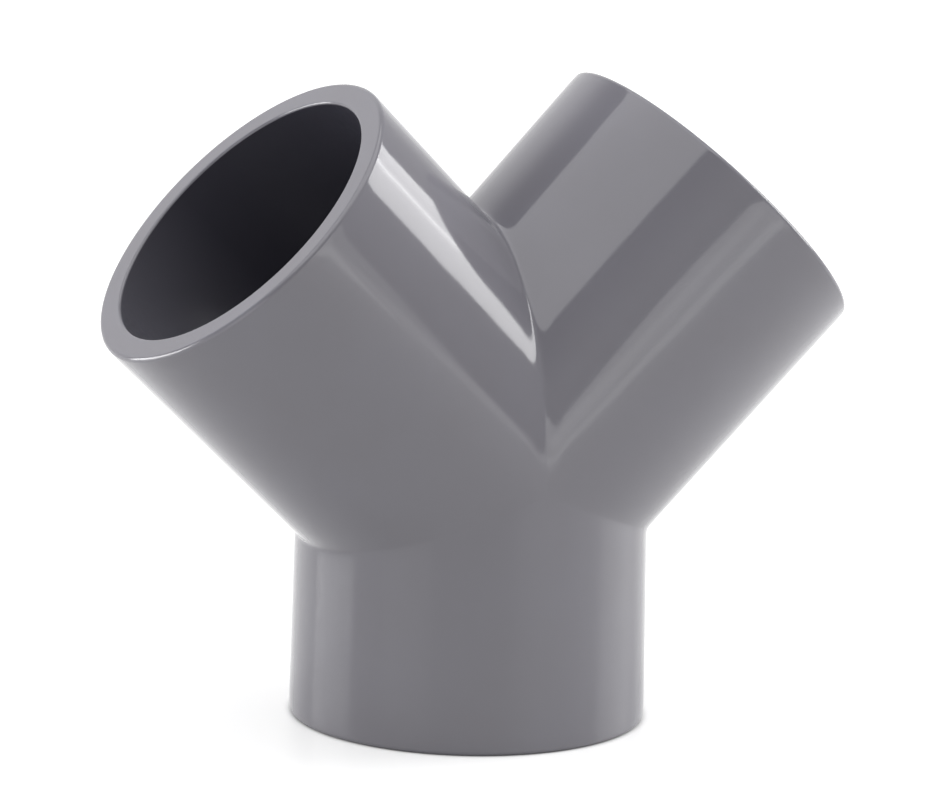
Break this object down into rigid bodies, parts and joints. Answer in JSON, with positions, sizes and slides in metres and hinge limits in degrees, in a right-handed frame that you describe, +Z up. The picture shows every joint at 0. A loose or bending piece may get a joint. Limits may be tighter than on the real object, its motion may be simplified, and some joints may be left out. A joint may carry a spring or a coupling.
{
  "type": "wye pipe fitting",
  "caption": "Y-shaped plastic pipe fitting: a short round stem forks into equal branches at right angles, and each arm ends in a plain pipe socket with an inner stop.",
  "frame": {"origin": "centre of the stem's mouth, in the plane of the rim that the fitting stands on", "axes": "+Z up the stem's axis to the fork; both branches lean along X, one towards +X and one towards -X, with their axes in the XZ plane; Y is across the fork"},
  "size_m": [0.1584, 0.0746, 0.1328],
  "materials": {
    "pvc_u": "injection moulded unplasticised PVC, dark grey, glossy"
  },
  "bodies": {
    "root": {"wye_body": "pvc_u"}
  },
  "joints": []
}
